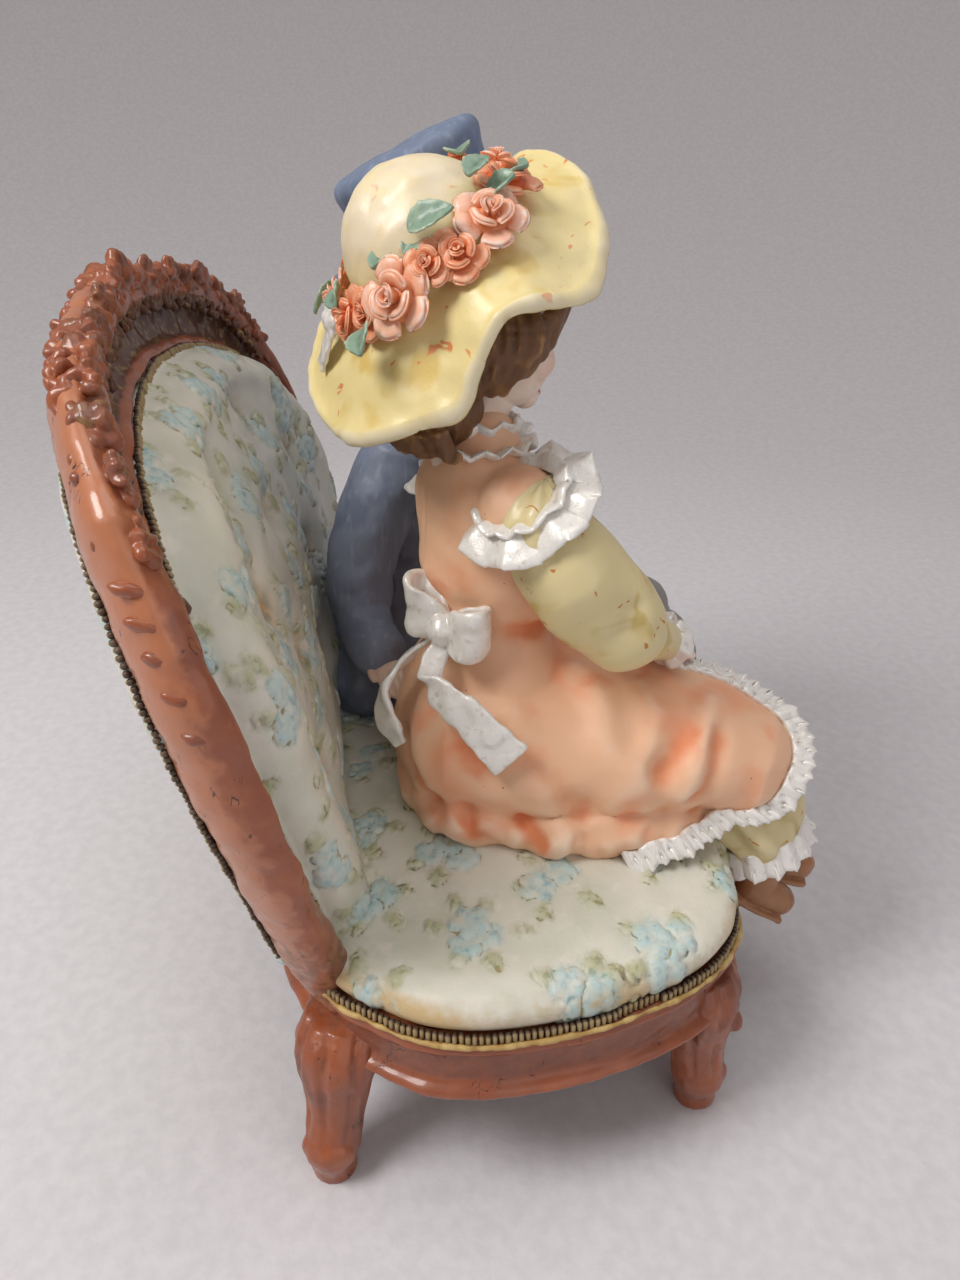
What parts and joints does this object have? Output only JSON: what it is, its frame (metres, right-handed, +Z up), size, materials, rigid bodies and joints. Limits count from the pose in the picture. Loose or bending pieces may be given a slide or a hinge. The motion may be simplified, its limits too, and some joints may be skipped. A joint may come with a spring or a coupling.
{
  "type": "courting couple figurine",
  "caption": "Cast and painted resin figurine of a lady and a gentleman in old dress, seated side by side on a carved, padded settee.",
  "frame": {"origin": "on the ground under the middle of the figurine's outer box", "axes": "+Z up, +X along the settee to the sitters' left, +Y towards the settee's back, so the couple face -Y"},
  "size_m": [0.1972, 0.1708, 0.2047],
  "materials": {
    "frame_lacquer": "terracotta paint on cast resin under a glossy lacquer",
    "upholstery_paint": "ivory paint with painted blue and sage flowers, satin",
    "gimp_paint": "dark brown beads brushed with ochre, satin",
    "dress_paint": "peach paint brushed with cream, satin",
    "sleeve_paint": "olive yellow paint, satin",
    "pearl_trim": "pearl white paint with fine glitter",
    "hat_paint": "pale yellow paint brushed with cream",
    "rose_paint": "coral and pale pink paint",
    "leaf_paint": "sage green paint",
    "hair_paint": "brown paint with a darker wash",
    "skin_paint": "pale ivory paint, matt",
    "boot_paint": "tan brown paint, satin",
    "coat_paint": "slate blue paint with a dark wash",
    "trouser_paint": "light grey paint with a dark wash",
    "top_hat_paint": "slate blue paint, satin",
    "shoe_paint": "dark brown paint, glossy"
  },
  "bodies": {
    "root": {"settee": "frame_lacquer", "lady": "dress_paint", "gentleman": "coat_paint"}
  },
  "joints": []
}
